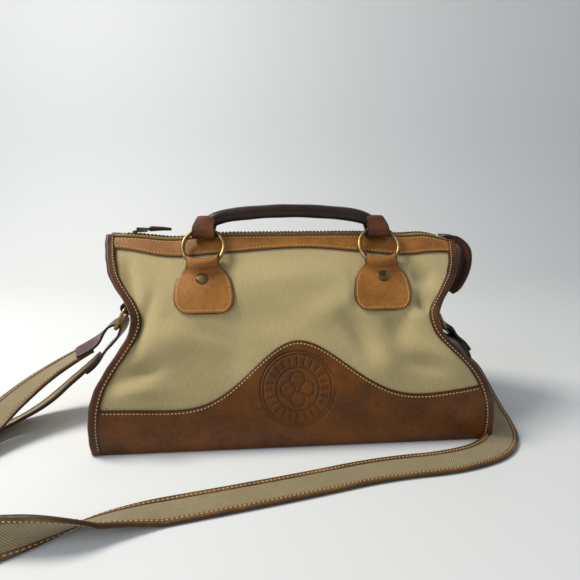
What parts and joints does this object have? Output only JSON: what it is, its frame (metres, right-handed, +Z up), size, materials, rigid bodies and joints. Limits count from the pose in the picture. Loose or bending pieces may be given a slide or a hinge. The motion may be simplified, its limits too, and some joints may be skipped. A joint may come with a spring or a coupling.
{
  "type": "doctor bag",
  "caption": "Zip-top doctor bag of canvas and leather, with rolled handles on rings, pinched soft ends and an adjustable shoulder strap.",
  "frame": {"origin": "middle of the bag's base, on the surface it stands on", "axes": "+Z up, +X to the right along the bag's length, front face towards -Y"},
  "size_m": [0.4665, 0.2548, 0.1869],
  "materials": {
    "canvas": "khaki cotton twill",
    "lining": "plain cotton",
    "apron_leather": "waxed amber hide",
    "binding_leather": "smooth brown hide",
    "tan_leather": "vegetable-tanned hide",
    "dark_leather": "worn dark hide",
    "cord_core": "packed cord",
    "antique_brass": "antique",
    "zip_brass": "dull",
    "zip_tape": "woven tape",
    "board": "stiff board",
    "strap_web": "canvas web with leather edges"
  },
  "bodies": {
    "base": {"base_board": "board", "bottom_panel": "apron_leather", "gusset_left": "canvas", "gusset_right": "canvas", "shoulder_strap": "strap_web", "strap_chape_left": "dark_leather", "strap_chape_right": "dark_leather", "strap_return": "strap_web", "strap_ring_left": "antique_brass", "strap_ring_right": "antique_brass", "strap_slide": "antique_brass", "strap_tab_left": "dark_leather", "strap_tab_right": "dark_leather", "strap_tab_rivet_left": "antique_brass", "strap_tab_rivet_right": "antique_brass", "zip_end_tab": "dark_leather"},
    "front_side": {"front_apron": "apron_leather", "front_binding_left": "binding_leather", "front_binding_right": "binding_leather", "front_canvas": "canvas", "front_lining": "lining", "front_patch_left": "tan_leather", "front_patch_right": "tan_leather", "front_rivet_caps": "antique_brass", "front_rivets": "antique_brass", "front_top_band": "tan_leather", "front_zip_tape": "zip_tape", "front_zip_teeth": "zip_brass", "zip_stop": "zip_brass"},
    "back_side": {"back_apron": "apron_leather", "back_binding_left": "binding_leather", "back_binding_right": "binding_leather", "back_canvas": "canvas", "back_lining": "lining", "back_patch_left": "tan_leather", "back_patch_right": "tan_leather", "back_rivet_caps": "antique_brass", "back_rivets": "antique_brass", "back_top_band": "tan_leather", "back_zip_tape": "zip_tape", "back_zip_teeth": "zip_brass"},
    "zip_slider": {"zip_slider": "antique_brass"},
    "zip_link": {"zip_link": "antique_brass"},
    "zip_pull": {"zip_pull": "dark_leather"},
    "front_ring_left": {"front_ring_left": "antique_brass"},
    "front_ring_right": {"front_ring_right": "antique_brass"},
    "front_handle": {"front_handle_cover": "dark_leather", "front_handle_core": "cord_core", "front_handle_ends": "dark_leather"},
    "back_ring_left": {"back_ring_left": "antique_brass"},
    "back_ring_right": {"back_ring_right": "antique_brass"},
    "back_handle": {"back_handle_cover": "dark_leather", "back_handle_core": "cord_core", "back_handle_ends": "dark_leather"}
  },
  "joints": [
    {"name": "front_open", "type": "hinge", "parent": "base", "child": "front_side", "pos_m": [0, -0.074, 0.0025], "axis": [1, 0, 0], "range_deg": [0, 18]},
    {"name": "back_open", "type": "hinge", "parent": "base", "child": "back_side", "pos_m": [0, 0.074, 0.0025], "axis": [-1, 0, 0], "range_deg": [0, 18]},
    {"name": "zip_slide", "type": "slide", "parent": "front_side", "child": "zip_slider", "axis": [1, 0, 0], "range_m": [0, 0.237]},
    {"name": "zip_link_flip", "type": "hinge", "parent": "zip_slider", "child": "zip_link", "pos_m": [-0.1278, 0, 0.16652], "axis": [0, -1, 0], "range_deg": [0, 150]},
    {"name": "zip_pull_flip", "type": "hinge", "parent": "zip_link", "child": "zip_pull", "pos_m": [-0.1198, 0, 0.16652], "axis": [0, -1, 0], "range_deg": [0, 40]},
    {"name": "front_ring_left_swing", "type": "hinge", "parent": "front_side", "child": "front_ring_left", "pos_m": [-0.0735, -0.03241, 0.13996], "axis": [1, 0, 0], "range_deg": [0, 100]},
    {"name": "front_ring_right_swing", "type": "hinge", "parent": "front_side", "child": "front_ring_right", "pos_m": [0.0735, -0.03241, 0.13996], "axis": [1, 0, 0], "range_deg": [0, 100]},
    {"name": "front_handle_swing", "type": "hinge", "parent": "front_ring_left", "child": "front_handle", "pos_m": [0, -0.01277, 0.16698], "axis": [1, 0, 0], "range_deg": [0, 9]},
    {"name": "back_ring_left_swing", "type": "hinge", "parent": "back_side", "child": "back_ring_left", "pos_m": [-0.0735, 0.03241, 0.13996], "axis": [1, 0, 0], "range_deg": [0, 160]},
    {"name": "back_ring_right_swing", "type": "hinge", "parent": "back_side", "child": "back_ring_right", "pos_m": [0.0735, 0.03241, 0.13996], "axis": [1, 0, 0], "range_deg": [0, 160]},
    {"name": "back_handle_swing", "type": "hinge", "parent": "back_ring_left", "child": "back_handle", "pos_m": [0, 0.05799, 0.11849], "axis": [1, 0, 0], "range_deg": [0, 30]}
  ],
  "couplings": [
    {"joint": "front_ring_right_swing", "follows": "front_ring_left_swing", "ratio": 1},
    {"joint": "back_ring_right_swing", "follows": "back_ring_left_swing", "ratio": 1}
  ]
}
